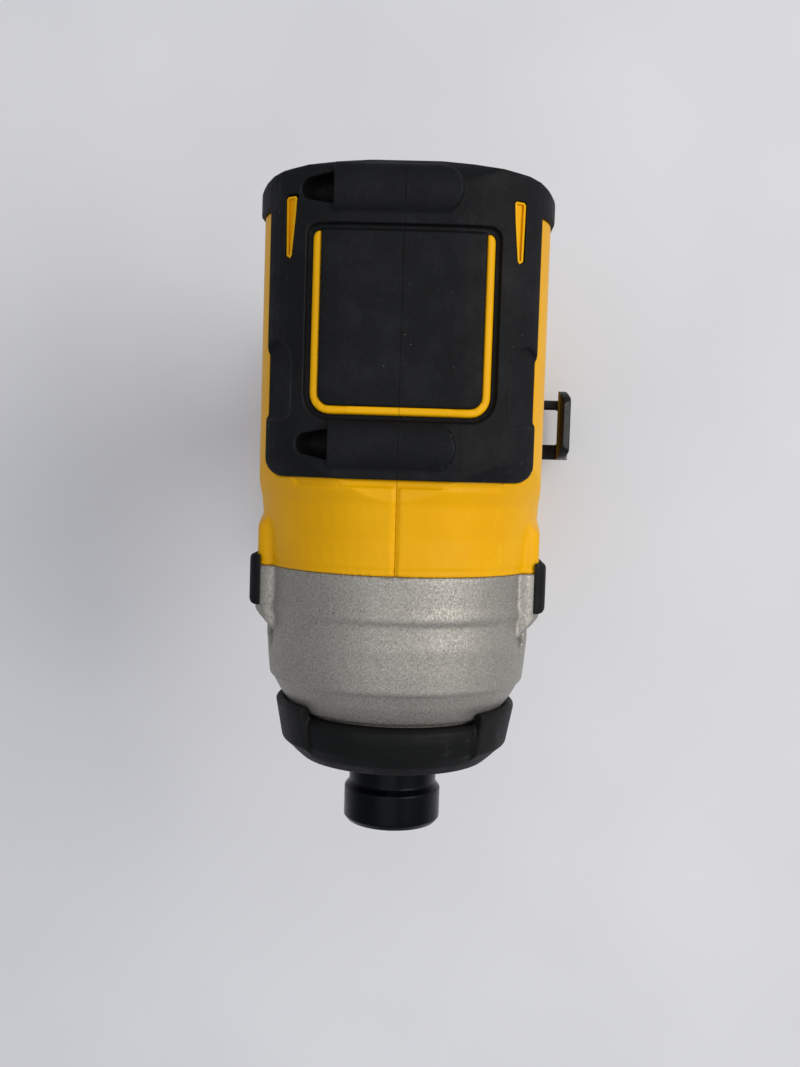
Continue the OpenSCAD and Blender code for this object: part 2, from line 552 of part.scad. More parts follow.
module vent_windows() both_sides() for (z = [-19, -10.5, -2])
  box(-131.9, -129.2, barrel_half_width - 9, barrel_half_width + 9, z * girth, (z + 6.5) * girth);
module intake_slots() both_sides() for (i = [0:4])
  box(-119 + i * 5, -116.6 + i * 5, stator_radius - 1.5, barrel_half_width + 9, -9, 9);
// Ways to the screw heads; those on top narrow outward and are lined with rubber
module top_access(grow) for (i = [0, 1]) translate([screws[i][0] * stretch, -10.95, screws[i][1]])
  rotate([90, 0, 0]) cylinder(h = 14.05, r1 = head_r + 1 + grow, r2 = 1.1 + grow);
module top_scoop() for (i = [0, 1]) translate([screws[i][0] * stretch, 0, screws[i][1]])
  linear_extrude(10) polygon([[-3, -13.5], [3, -13.5], [1.3, -22], [-1.3, -22]]);
module screw_access() {
  for (i = [0, 1]) rod_y(screws[i][0], screws[i][1], -12, screws[i][2], head_r + 0.5);
  for (i = [2:5]) rod_y(screws[i][0], screws[i][1], -70, screws[i][2], head_r + 0.5);
}
module left_half() intersection() {
  box(-200, 20, 0.03, 80, -200, 80);
  children();
}
module right_half() intersection() {
  box(-200, 20, -80, -0.03, -200, 80);
  children();
}

// Rubber on the back and the grip
module rear_overmould() difference() {
  union() {
    difference() {
      union() {
        intersection() {
          rear_zone();
          barrel(lift);
        }
        pill(screws[0][0]);
        pill(screws[1][0]);
      }
      barrel(-rubber_seat);
    }
    intersection() {
      top_access(rubber - 0.3 - fit);
      barrel(lift);
    }
  }
  panel_line(0);
  panel_groove();
  slits();
  for (i = [0, 1]) rod_y(screws[i][0], screws[i][1], -11, screws[i][3] + 1 + fit, boss_r + fit);
  screw_access();
  top_access(0);
  top_scoop();
  vent_windows();
  both_sides() pocket();
}
module rear_overmould_left() color([0.11, 0.11, 0.12]) left_half() rear_overmould();
module rear_overmould_right() color([0.11, 0.11, 0.12]) right_half() rear_overmould();
module grip() difference() {
  intersection() {
    grip_zone();
    grip_form(0.4);
  }
  grip_form(-rubber_seat);
  screw_access();
}
module grip_left() color([0.11, 0.11, 0.12]) left_half() grip();
module grip_right() color([0.11, 0.11, 0.12]) right_half() grip();

// Housing halves
module bar_outline(grow) polygon(rounded(bar_x * stretch - 5.5 - grow, bar_z - 3.3 - grow,
  bar_x * stretch + 5.5 + grow, bar_z + 3.3 + grow, 2 + grow, 5));
module housing_outer() difference() {
  union() {
    barrel(0);
    grip_form(0);
    foot_form();
    both_sides() shoulder();
  }
  difference() {
    rear_zone();
    barrel(-rubber);
  }
  difference() {
    grip_zone();
    grip_form(-rubber);
  }
}
module motor_hollow() turned([[0, x_band + 1], [skirt_r + 0.1, x_band + 1], [skirt_r + 0.1, -76.1],
  [chamber_r, -76.1], [chamber_r, -91.6], [stator_radius + fit, -91.6], [stator_radius + fit, -124.8],
  [fan_r + 1.4, -124.8], [fan_r + 1.4, -132.2], [6, -132.2], [6, -133.4], [7 + fit / 2, -133.4],
  [7 + fit / 2, -137.3], [3.4, -137.3], [3.4, -137.8], [0, -137.8]]);
module handle_hollow() difference() {
  grip_form(-3.8);
  box(-140, -60, -40, 40, low(-30), 0);
  box(-113 - gd, -99, -40, 40, low(-37.95), low(-36));
  box(-113 - gd, -99, -40, 40, low(-72), low(-70.05));
  for (i = [2, 3]) rod_y(screws[i][0], screws[i][1], -40, 40, boss_r);
}
module foot_hollow() difference() {
  box(-116, -60, 6.5 - foot_half_width, foot_half_width - 6.5, low(-124.8), low(-115.5));
  both_sides() rod_y(insert_x, insert_z, foot_half_width - 10, foot_half_width + 8, 4.3);
}
module band_groove() difference() {
  union() {
    box(-74, x_band + 1, -0.65, 0.65, barrel_top - 10, barrel_top + 10);
    along_x(-75.9, -74) polygon([[0, 8], [60, 56], [60, 80], [-60, 80], [-60, 56]]);
  }
  barrel(-0.6);
}
module housing() difference() {
  union() {
    housing_outer();
    intersection() {
      panel_line(fit);
      barrel(lift - 0.35);
    }
    for (i = [0, 1]) rod_y(screws[i][0], screws[i][1], -10.9, screws[i][3] + 1, boss_r);
  }
  motor_hollow();
  handle_hollow();
  foot_hollow();
  box(-99, -93, -7, 7, low(-34), -20 * girth);
  both_sides() pad_seat();
  case_bolts() rod_x(-65, x_band + 1, 1.6 + fit);
  band_groove();
  for (s = screws) rod_y(s[0], s[1], -70, s[3] + 0.2, screw_r + fit);
  screw_access();
  top_access(rubber - 0.3);
  vent_windows();
  intake_slots();
  box(-100, -60, -trigger_half_width - tip_clear, trigger_half_width + tip_clear, low(-69.2), low(-40.3));
  along_y(-40, 40) bar_outline(run);
  both_sides() rod_y(insert_x, insert_z, foot_half_width - 8.1, foot_half_width + 8, 2.7 + fit / 2);
  box(-118, -30, 4.5 - foot_half_width, foot_half_width - 4.5, low(-133.5), low(-127));
  box(-118, -30, 9.5 - foot_half_width, foot_half_width - 9.5, low(-150), low(-133));
}
module housing_left() color([0.9, 0.68, 0.03]) left_half() housing();
module housing_right() color([0.9, 0.68, 0.03]) right_half() housing();
module housing_screws() color([0.3, 0.3, 0.32]) for (s = screws) difference() {
  union() {
    rod_y(s[0], s[1], s[2] - 0.1, s[3], screw_r);
    rod_y(s[0], s[1], s[2] - head_t, s[2] - fit, head_r);
  }
  translate([s[0] * stretch, 0, s[1]]) along_y(s[2] - head_t - 1, s[2] - head_t + 1.3)
    circle(r = 1.5, $fn = 6);
}

// Switch, trigger and direction bar
module switch_body() color([0.13, 0.13, 0.14]) difference() {
  box(-113 - gd, switch_x, 6.3 - grip_half_width, grip_half_width - 6.3, low(-70), low(-38));
  translate([0, 0, stem_z]) rod_x(-101 - trigger_travel, switch_x + 1, 2.4 + run);
}
module trigger_spring() color([0.6, 0.62, 0.66]) translate([0, 0, stem_z])
  coil(switch_x + fit, -90.05, 4.2, wire_of(0.45, trigger_travel + 0.9, 5), 5);
module trigger() color([0.1, 0.1, 0.11]) union() {
  intersection() {
    along_y(-20, 20) polygon(lengthwise(concat(
      [[-90, low(-40.8)], [-71, low(-40.8)], [-68.4, low(-42)]],
      [for (a = [31:-5.8:-27]) [-48 - 23 * cos(a), low(23 * sin(a) - 55)]],
      [[-69.4, low(-68)], [-72, low(-68.7)], [-90, low(-68.7)]])));
    along_z(low(-75), low(-35)) polygon(concat([[-91 * stretch, -trigger_half_width]],
      arc(-74 * stretch, 4 - trigger_half_width, 4, 270, 315, 3),
      [[-66 * stretch, -4], [-66 * stretch, 4]],
      arc(-74 * stretch, trigger_half_width - 4, 4, 45, 90, 3), [[-91 * stretch, trigger_half_width]]));
  }
  translate([0, 0, stem_z]) rod_x(-100, -89, 2.4);
}
module selector_bar() color([0.1, 0.1, 0.11]) difference() {
  along_y(-bar_half, bar_half) bar_outline(0);
  both_sides() rod_y(bar_x, bar_z, bar_half - 0.8, bar_half + 5, 2);
}

// Foot pieces
module control_module() color([0.12, 0.3, 0.2])
  box(-114, -62, 10.5 - foot_half_width, foot_half_width - 10.5, low(-124.75), low(-118));
module terminal_block() color([0.14, 0.14, 0.15]) difference() {
  box(-117.95, -101, -14, 14, low(-133.2), low(-127.05));
  for (y = [-9, -3, 3, 9]) box(-109, -95, y - 0.45, y + 0.45, low(-132.7), low(-128.1));
}
module terminal_blades() color([0.75, 0.6, 0.3])
  for (y = [-9, -3, 3, 9]) box(-108.95, -93, y - 0.4, y + 0.4, low(-132.6), low(-128.2));

// Belt hook, its screw and the threaded inserts
module belt_hook() color([0.2, 0.2, 0.21]) difference() {
  intersection() {
    translate([hook_x - hook_width / 2, 0, 0]) rotate([90, 0, 90]) linear_extrude(hook_width)
      polygon(strip(concat([[hook_y, low(-113.5)]], arc(hook_y + 3, hook_low + 3, 3, 180, 270, 6),
        arc(hook_far - 3.5, hook_low + 3.5, 3.5, 270, 367, 7),
        [[hook_far - hook_reach * 0.38, low(-82)], [hook_far - hook_reach * 0.4, low(-79)],
        [hook_far - hook_reach * 0.38, low(-76)], [hook_far - hook_reach * 0.32, low(-73.5)]]),
        hook_thick));
    along_y(20, 80) polygon(rounded(hook_x - hook_width / 2, hook_low - 12,
      hook_x + hook_width / 2, low(-72.6), 6, 6));
  }
  along_z(hook_low - 4, hook_low + 4) polygon(rounded(hook_x - hook_width / 2 + 3,
    hook_y + hook_reach * 0.45, hook_x + hook_width / 2 - 4.8, hook_far - hook_thick * 0.7, 1.4, 4));
  rod_y(insert_x, insert_z, foot_half_width - 12, hook_y + 3, 1.7);
}
module hook_screw() color([0.3, 0.3, 0.32]) difference() {
  union() {
    rod_y(insert_x, insert_z, foot_half_width - 7.4, hook_y + hook_thick, 1.6);
    rod_y(insert_x, insert_z, hook_y + hook_thick / 2 + fit / 2, hook_y + hook_thick / 2 + 2.4, 3.6);
  }
  translate([hook_x, 0, insert_z]) along_y(hook_y + hook_thick / 2 + 1, hook_far + 20)
    circle(r = 1.9, $fn = 6);
}
module hook_inserts() color([0.75, 0.6, 0.3]) both_sides() difference() {
  rod_y(insert_x, insert_z, foot_half_width - 8, foot_half_width - 0.1, 2.7);
  rod_y(insert_x, insert_z, foot_half_width - 12, foot_half_width + 8, 1.65);
}

housing_left();
housing_right();
rear_overmould_left();
rear_overmould_right();
grip_left();
grip_right();
housing_screws();
gear_case();
gear_case_screws();
nose_bumper();
side_bumper_left();
side_bumper_right();
light_ring();
light_lenses();
nose_bush();
anvil_washer();
ring_gear();
gear_cover();
spindle_bearing();
front_bearing();
rear_bearing();
stator_core();
stator_windings();
motor_board();
switch_body();
trigger_spring();
control_module();
terminal_block();
terminal_blades();
belt_hook();
hook_screw();
hook_inserts();
rotor_shaft();
rotor_core();
rotor_magnets();
cooling_fan();
spindle();
planet_pins();
cam_balls();
hammer_spring();
spring_washer();
planet_gear_1();
planet_gear_2();
planet_gear_3();
hammer();
anvil();
detent_balls();
sleeve_spring();
retaining_ring();
collet_sleeve();
trigger();
selector_bar();
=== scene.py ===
import json
import math

import bmesh
import bpy
from mathutils import Matrix, Vector

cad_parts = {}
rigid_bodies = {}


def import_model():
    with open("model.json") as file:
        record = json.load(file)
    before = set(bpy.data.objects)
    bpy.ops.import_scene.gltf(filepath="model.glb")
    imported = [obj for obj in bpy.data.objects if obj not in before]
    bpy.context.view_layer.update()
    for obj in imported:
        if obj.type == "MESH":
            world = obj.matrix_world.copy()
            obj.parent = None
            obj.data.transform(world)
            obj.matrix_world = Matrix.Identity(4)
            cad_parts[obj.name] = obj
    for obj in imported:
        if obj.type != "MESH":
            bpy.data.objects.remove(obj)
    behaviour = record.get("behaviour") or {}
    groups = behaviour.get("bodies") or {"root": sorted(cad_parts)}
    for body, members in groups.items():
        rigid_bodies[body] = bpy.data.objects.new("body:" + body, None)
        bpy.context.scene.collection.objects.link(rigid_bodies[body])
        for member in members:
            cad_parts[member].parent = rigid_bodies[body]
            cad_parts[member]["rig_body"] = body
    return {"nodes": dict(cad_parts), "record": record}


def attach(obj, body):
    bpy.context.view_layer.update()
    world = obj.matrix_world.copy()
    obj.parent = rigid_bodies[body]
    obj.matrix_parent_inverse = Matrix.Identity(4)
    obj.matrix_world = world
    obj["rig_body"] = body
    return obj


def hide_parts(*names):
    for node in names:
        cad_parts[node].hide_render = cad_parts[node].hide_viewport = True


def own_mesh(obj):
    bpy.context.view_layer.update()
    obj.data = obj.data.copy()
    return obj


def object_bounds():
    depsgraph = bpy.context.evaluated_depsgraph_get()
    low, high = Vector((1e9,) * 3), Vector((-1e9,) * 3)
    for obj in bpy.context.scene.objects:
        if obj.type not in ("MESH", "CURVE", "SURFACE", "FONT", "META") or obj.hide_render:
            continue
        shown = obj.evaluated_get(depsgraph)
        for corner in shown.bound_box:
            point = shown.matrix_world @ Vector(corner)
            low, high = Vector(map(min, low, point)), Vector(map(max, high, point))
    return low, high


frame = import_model()
cad_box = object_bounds()
nodes = frame["nodes"]
scene = bpy.context.scene
MM = 0.001
WELD = 0.002 * MM


# Node trees: small helpers that add a node and return its output

class Tree:
    """A material's node tree, with short calls for the nodes used below."""

    def __init__(self, name):
        self.material = bpy.data.materials.new(name)
        self.material.use_nodes = True
        self.tree = self.material.node_tree
        self.shader = next(n for n in self.tree.nodes if n.type == "BSDF_PRINCIPLED")
        self.place = self.add("ShaderNodeTexCoord").outputs["Object"]

    def add(self, kind, **settings):
        node = self.tree.nodes.new(kind)
        for key, value in settings.items():
            setattr(node, key, value)
        return node

    def link(self, source, target):
        self.tree.links.new(source, target)

    def put(self, socket, value):
        if isinstance(value, bpy.types.NodeSocket):
            self.link(value, socket)
        else:
            socket.default_value = value

    def scaled(self, scale):
        """Object coordinates in units of 1/scale metres, stretched by axis where scale is a triple."""
        triple = scale if isinstance(scale, tuple) else (scale,) * 3
        mapping = self.add("ShaderNodeMapping")
        mapping.inputs["Scale"].default_value = triple
        self.link(self.place, mapping.inputs["Vector"])
        return mapping.outputs["Vector"]

    def noise(self, scale, detail=3.0, rough=0.55):
        node = self.add("ShaderNodeTexNoise")
        self.link(self.scaled(scale), node.inputs["Vector"])
        node.inputs["Scale"].default_value = 1.0
        node.inputs["Detail"].default_value = detail
        node.inputs["Roughness"].default_value = rough
        return node.outputs[0]

    def cells(self, scale, feature="F1", output="Distance"):
        node = self.add("ShaderNodeTexVoronoi", feature=feature)
        self.link(self.scaled(scale), node.inputs["Vector"])
        node.inputs["Scale"].default_value = 1.0
        return node.outputs[output]

    def bands(self, scale, direction="X", distort=0.0):
        node = self.add("ShaderNodeTexWave", bands_direction=direction)
        self.link(self.scaled(scale), node.inputs["Vector"])
        node.inputs["Scale"].default_value = 1.0
        node.inputs["Distortion"].default_value = distort
        return node.outputs["Fac"]

    def ramp(self, value, low, high, to_low=0.0, to_high=1.0):
        node = self.add("ShaderNodeMapRange")
        self.put(node.inputs["Value"], value)
        node.inputs["From Min"].default_value = low
        node.inputs["From Max"].default_value = high
        node.inputs["To Min"].default_value = to_low
        node.inputs["To Max"].default_value = to_high
        return node.outputs["Result"]

    def math(self, operation, a, b):
        node = self.add("ShaderNodeMath", operation=operation)
        self.put(node.inputs[0], a)
        self.put(node.inputs[1], b)
        return node.outputs[0]

    def mix(self, share, a, b):
        """Colour a where share is 0 and b where it is 1."""
        node = self.add("ShaderNodeMix", data_type="RGBA")
        self.put(node.inputs[0], share)
        self.put(node.inputs[6], (*a, 1) if isinstance(a, tuple) else a)
        self.put(node.inputs[7], (*b, 1) if isinstance(b, tuple) else b)
        return node.outputs[2]

    def edges(self, low=0.52, high=0.58):
        """1 along raised edges, 0 on flat faces."""
        return self.ramp(self.add("ShaderNodeNewGeometry").outputs["Pointiness"], low, high)

    def bump(self, height, depth_mm, strength=1.0, under=None):
        node = self.add("ShaderNodeBump")
        node.inputs["Strength"].default_value = strength
        node.inputs["Distance"].default_value = depth_mm * MM
        self.link(height, node.inputs["Height"])
        if under is not None:
            self.link(under, node.inputs["Normal"])
        return node.outputs["Normal"]

    def set(self, **values):
        names = {"color": "Base Color", "rough": "Roughness", "metal": "Metallic", "normal": "Normal",
                 "specular": "Specular IOR Level", "coat": "Coat Weight"}
        for key, value in values.items():
            socket = self.shader.inputs[names[key]]
            if isinstance(value, tuple):
                value = (*value, 1)
            self.put(socket, value)
        return self.material


def srgb(r, g, b):
    """A colour written in 0 to 255 display steps."""
    return tuple((c / 255 / 12.92) if c <= 10 else ((c / 255 + 0.055) / 1.055) ** 2.4
                 for c in (r, g, b))


# Materials, one for each slot in the record

def yellow_plastic():
    t = Tree("yellow_plastic")
    cloud = t.noise(60, 3)
    grain = t.noise(3400, 2)
    base = t.mix(t.ramp(cloud, 0.3, 0.7), srgb(222, 160, 0), srgb(230, 170, 0))
    # Edges lighter yellow: partly wear, partly a painted highlight along the edges
    lighter_edges = t.mix(t.math("MULTIPLY", t.edges(0.57, 0.68), 0.3), base, srgb(238, 188, 30))
    dirt = t.ramp(t.noise(420, 5, 0.7), 0.62, 0.8)
    color = t.mix(t.math("MULTIPLY", dirt, 0.18), lighter_edges, srgb(120, 84, 14))
    rough = t.ramp(grain, 0.25, 0.75, 0.36, 0.52)
    normal = t.bump(grain, 0.05, 0.35)
    return t.set(color=color, rough=rough, normal=normal, specular=0.13)


def soft_rubber(name, dark, pale, grain_scale, depth_mm, rough_low, rough_high):
    t = Tree(name)
    grain = t.noise(grain_scale, 3, 0.6)
    pebble = t.cells(grain_scale * 0.55, "SMOOTH_F1")
    relief = t.math("ADD", grain, t.math("MULTIPLY", pebble, 0.8))
    rubbed = t.ramp(t.noise(130, 4, 0.65), 0.45, 0.75)
    base = t.mix(t.ramp(grain, 0.35, 0.7), dark, pale)
    scuffed = t.mix(t.math("MULTIPLY", rubbed, 0.2), base, srgb(34, 35, 37))
    edged = t.mix(t.math("MULTIPLY", t.edges(0.52, 0.58), 0.25), scuffed, srgb(50, 51, 53))
    speck = t.ramp(t.cells(520), 0.075, 0.055)
    few = t.ramp(t.noise(240, 1), 0.6, 0.64)
    lint = t.math("MULTIPLY", speck, few)
    color = t.mix(t.math("MULTIPLY", lint, 0.45), edged, srgb(120, 120, 122))
    rough = t.ramp(rubbed, 0, 1, rough_high, rough_low)
    return t.set(color=color, rough=rough, normal=t.bump(relief, depth_mm, 0.5), specular=0.14)


def cast_metal():
    t = Tree("cast_metal")
    grain = t.noise(2600, 3, 0.7)
    flakes = t.cells(3400, "F1", "Color")
    cloud = t.noise(75, 4, 0.6)
    base = t.mix(t.ramp(cloud, 0.3, 0.72), srgb(130, 126, 118), srgb(144, 140, 131))
    sparkle = t.mix(t.ramp(grain, 0.35, 0.75), base, srgb(180, 177, 170))
    scratch = t.math("MULTIPLY", t.ramp(t.noise((900, 160, 900), 4, 0.7), 0.66, 0.74),
                     t.ramp(t.noise(55, 2), 0.56, 0.66))
    pits = t.math("MULTIPLY", t.ramp(t.cells(300), 0.09, 0.06), t.ramp(t.noise(90, 2), 0.55, 0.62))
    marks = t.math("MAXIMUM", scratch, pits)
    color = t.mix(t.math("MULTIPLY", marks, 0.6), sparkle, srgb(66, 64, 62))
    flake_tilt = t.add("ShaderNodeSeparateColor")
    t.link(flakes, flake_tilt.inputs[0])
    rough = t.ramp(flake_tilt.outputs[0], 0, 1, 0.42, 0.68)
    height = t.math("ADD", grain, t.math("MULTIPLY", flake_tilt.outputs[1], 0.5))
    return t.set(color=color, rough=rough, metal=0.7, normal=t.bump(height, 0.05, 0.5))


def turned_steel(name, color, rough_low, rough_high, metal=1.0, line_scale=2600, wear=None,
                 specular=0.5):
    """Lathe-turned metal: fine rings round the spindle axis and a soft smear of polish."""
    t = Tree(name)
    rings = t.noise((line_scale, 40, 40), 2)
    smear = t.noise(170, 3)
    base = t.mix(t.ramp(smear, 0.3, 0.7), tuple(c * 0.86 for c in color), color)
    if wear is not None:
        base = t.mix(t.math("MULTIPLY", t.edges(0.53, 0.6), 0.5), base, wear)
    rough = t.math("ADD", t.ramp(smear, 0.3, 0.7, rough_low, rough_high),
                   t.ramp(rings, 0.3, 0.7, 0.0, 0.06))
    return t.set(color=base, rough=rough, metal=metal, normal=t.bump(rings, 0.015, 0.4),
                 specular=specular)


def moulded(name, dark, pale, rough_low, rough_high, grain_scale=2400):
    t = Tree(name)
    grain = t.noise(grain_scale, 3)
    cloud = t.noise(110, 3)
    base = t.mix(t.ramp(cloud, 0.3, 0.7), dark, pale)
    color = t.mix(t.math("MULTIPLY", t.edges(), 0.3), base, srgb(84, 84, 86))
    return t.set(color=color, rough=t.ramp(grain, 0.3, 0.7, rough_low, rough_high),
                 normal=t.bump(grain, 0.04, 0.3), specular=0.45)


def painted_strap():
    t = Tree("painted_strap")
    orange_peel = t.noise(900, 2)
    lighter_edges = t.math("MULTIPLY", t.edges(0.54, 0.6), t.ramp(t.noise(400, 4), 0.4, 0.6))
    color = t.mix(lighter_edges, srgb(16, 16, 17), srgb(120, 118, 116))
    metal = t.ramp(lighter_edges, 0.4, 0.6, 0.1, 0.9)
    return t.set(color=color, rough=t.ramp(orange_peel, 0.3, 0.7, 0.34, 0.48), metal=metal,
                 normal=t.bump(orange_peel, 0.03, 0.3), specular=0.3)


def stacked_iron():
    t = Tree("stacked_iron")
    sheets = t.bands((1400, 1, 1))
    blotch = t.noise(260, 3)
    color = t.mix(t.ramp(blotch, 0.3, 0.7), srgb(84, 86, 92), srgb(118, 120, 124))
    return t.set(color=color, rough=t.ramp(blotch, 0.3, 0.7, 0.4, 0.6), metal=0.7,
                 normal=t.bump(sheets, 0.05, 0.6))


def wound_copper():
    t = Tree("wound_copper")
    wires = t.bands((1, 1500, 1500), "DIAGONAL", 0.6)
    lacquer = t.noise(300, 3)
    color = t.mix(t.ramp(lacquer, 0.3, 0.7), srgb(150, 74, 32), srgb(196, 108, 52))
    return t.set(color=color, rough=t.ramp(lacquer, 0.3, 0.7, 0.25, 0.4), metal=0.9,
                 normal=t.bump(wires, 0.2, 0.7))


def circuit_board():
    t = Tree("circuit_board")
    lanes = t.ramp(t.cells(260, "DISTANCE_TO_EDGE"), 0.06, 0.1)
    weave = t.noise(1800, 2)
    color = t.mix(lanes, srgb(58, 112, 66), srgb(16, 66, 40))
    return t.set(color=color, rough=t.ramp(weave, 0.3, 0.7, 0.25, 0.4),
                 normal=t.bump(lanes, 0.03, 0.5), coat=0.3)


def clear_lens():
    t = Tree("clear_lens")
    ripple = t.noise(500, 2)
    color = t.mix(t.ramp(ripple, 0.3, 0.7), srgb(226, 230, 232), srgb(242, 244, 244))
    return t.set(color=color, rough=t.ramp(ripple, 0.3, 0.7, 0.08, 0.16),
                 normal=t.bump(ripple, 0.03, 0.3), coat=0.6)


looks = {
    "housing_yellow": yellow_plastic(),
    "overmould": soft_rubber("overmould_rubber", srgb(10, 11, 12), srgb(18, 19, 21),
                             2300, 0.07, 0.5, 0.66),
    "bumper_rubber": soft_rubber("bumper_rubber", srgb(8, 9, 9), srgb(15, 16, 16), 3000, 0.04, 0.46, 0.6),
    "case_metal": cast_metal(),
    "sleeve_black": turned_steel("sleeve_black", srgb(9, 11, 16), 0.22, 0.34, 0.6, 1900,
                                 srgb(40, 43, 52), 0.2),
    "steel": turned_steel("machined_steel", srgb(176, 176, 180), 0.22, 0.36),
    "forged": turned_steel("forged_steel", srgb(70, 70, 74), 0.3, 0.46, 0.9, 1500, srgb(140, 140, 144)),
    "bearing": turned_steel("bearing_steel", srgb(206, 206, 210), 0.1, 0.2),
    "bronze": turned_steel("bush_bronze", srgb(176, 138, 84), 0.3, 0.45),
    "brass": turned_steel("bright_brass", srgb(206, 170, 96), 0.2, 0.34),
    "copper": wound_copper(),
    "core_iron": stacked_iron(),
    "magnet": turned_steel("plated_magnet", srgb(120, 120, 126), 0.3, 0.42),
    "board": circuit_board(),
    "dark_plastic": moulded("dark_plastic", srgb(28, 28, 30), srgb(40, 40, 42), 0.42, 0.58),
    "trigger_plastic": moulded("trigger_plastic", srgb(24, 24, 25), srgb(34, 34, 36), 0.34, 0.48),
    "screw_black": turned_steel("screw_black", srgb(60, 60, 64), 0.3, 0.42, 0.9, 1200,
                                srgb(150, 150, 152)),
    "hook_black": painted_strap(),
    "lens": clear_lens(),
}
slot_of = {part["node"]: part["material_slot"] for part in frame["record"]["subparts"]}
body_of = {name: nodes[name]["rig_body"] for name in nodes}


# Every node starts with its slot's material

for name, piece in nodes.items():
    piece.data.materials.clear()
    piece.data.materials.append(looks[slot_of[name]])


# Moulded and cast pieces: the solid's own mesh, with its edges rounded as a mould leaves them

def welded_copy(name, extra=None):
    """A node's mesh as a new piece with its doubled points merged, and an extra mesh added to it."""
    mesh = nodes[name].data.copy()
    work = bmesh.new()
    work.from_mesh(mesh)
    bmesh.ops.remove_doubles(work, verts=work.verts, dist=WELD)
    if extra is not None:
        work.from_mesh(extra)
    work.to_mesh(mesh)
    work.free()
    piece = bpy.data.objects.new(name + "_skin", mesh)
    scene.collection.objects.link(piece)
    return piece


def stand_for(piece, name):
    """Put a piece in a node's place, with the node's material and body."""
    piece.data.materials.clear()
    piece.data.materials.append(looks[slot_of[name]])
    for face in piece.data.polygons:
        face.use_smooth = True
    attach(piece, body_of[name])
    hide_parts(name)
    return piece


SEAM_NEAR = 0.09 * MM
SEAM_REACH = 1.5 * MM
SEAM_HALF_GAP = 0.03 * MM


def open_seam(piece):
    """Push a half's flat seam face across the middle, so that rounding leaves the seam's edge alone."""
    side = 1 if sum(v.co.y for v in piece.data.vertices) > 0 else -1
    for v in piece.data.vertices:
        if abs(v.co.y) < SEAM_NEAR:
            v.co.y -= side * SEAM_REACH
    return side


def close_seam(mesh, side):
    """Cut a half back to the seam plane and cap the cut."""
    work = bmesh.new()
    work.from_mesh(mesh)
    cut = bmesh.ops.bisect_plane(
        work, geom=[*work.verts, *work.edges, *work.faces], dist=1e-7,
        plane_co=(0, side * SEAM_HALF_GAP, 0), plane_no=(0, -side, 0), clear_outer=True)
    rim = [e for e in cut["geom_cut"] if isinstance(e, bmesh.types.BMEdge)]
    bmesh.ops.triangle_fill(work, edges=rim, normal=(0, -side, 0))
    work.to_mesh(mesh)
    work.free()


def rounded_copy(name, voxel_mm, passes, half=False, extra=None):
    """A copy of a node with small fillets: a fine even mesh, smoothed a few times."""
    piece = welded_copy(name, extra)
    side = open_seam(piece) if half else 0
    remesh = piece.modifiers.new("even_mesh", "REMESH")
    remesh.mode = "VOXEL"
    remesh.voxel_size = voxel_mm * MM * 1
    smooth = piece.modifiers.new("fillets", "SMOOTH")
    smooth.factor = 0.5
    smooth.iterations = passes
    bpy.context.view_layer.update()
    made = bpy.data.meshes.new_from_object(piece.evaluated_get(bpy.context.evaluated_depsgraph_get()))
    piece.modifiers.clear()
    piece.data = made
    if half:
        close_seam(made, side)
    return stand_for(piece, name)


# The barrel's rubber surface over a corner of its section: arc centre and radius, in mm
ARC_Y, ARC_Z, ARC_R = 10.2, 11.4, 19.75


def rubber_top(y):
    return ARC_Z + math.sqrt(ARC_R ** 2 - max(abs(y) - ARC_Y, 0) ** 2)


def columns(cells, step):
    """A mesh of upright square columns that overlap a little: x, y, low and high of each, in mm."""
    half = step * 0.55
    verts, faces = [], []
    for x, y, low, high in cells:
        n = len(verts)
        for z in (low, high):
            for dx, dy in ((-1, -1), (1, -1), (1, 1), (-1, 1)):
                verts.append(((x + dx * half) * MM, (y + dy * half) * MM, z * MM))
        faces += [(n + 3, n + 2, n + 1, n), (n + 4, n + 5, n + 6, n + 7)]
        faces += [(n + i, n + (i + 1) % 4, n + 4 + (i + 1) % 4, n + 4 + i) for i in range(4)]
    mesh = bpy.data.meshes.new("columns")
    mesh.from_pydata(verts, [], faces)
    return mesh


# Screw recesses: a cone along y whose far end is filled to a round bowl, in mm
RECESS_X = (-130.9, -82.2)
RECESS_Z = 27.0
CONE_START_Y, CONE_LENGTH, CONE_WIDE, CONE_NARROW = -10.95, 14.05, 3.9, 1.1
RECESS_END, RECESS_ROUND, BOWL = -20.0, 2.3, 2.6
FILL_START_Y, FILL_STEP, FILL_ACROSS, FILL_ALONG = -15.6, 0.2, 20, 46
FILL_SUNK, FILL_ROOT, FILL_LEAST = 0.02, 0.6, 0.1
SLIT_X, SLIT_INNER_Y = (-130.2, -117), -20.5


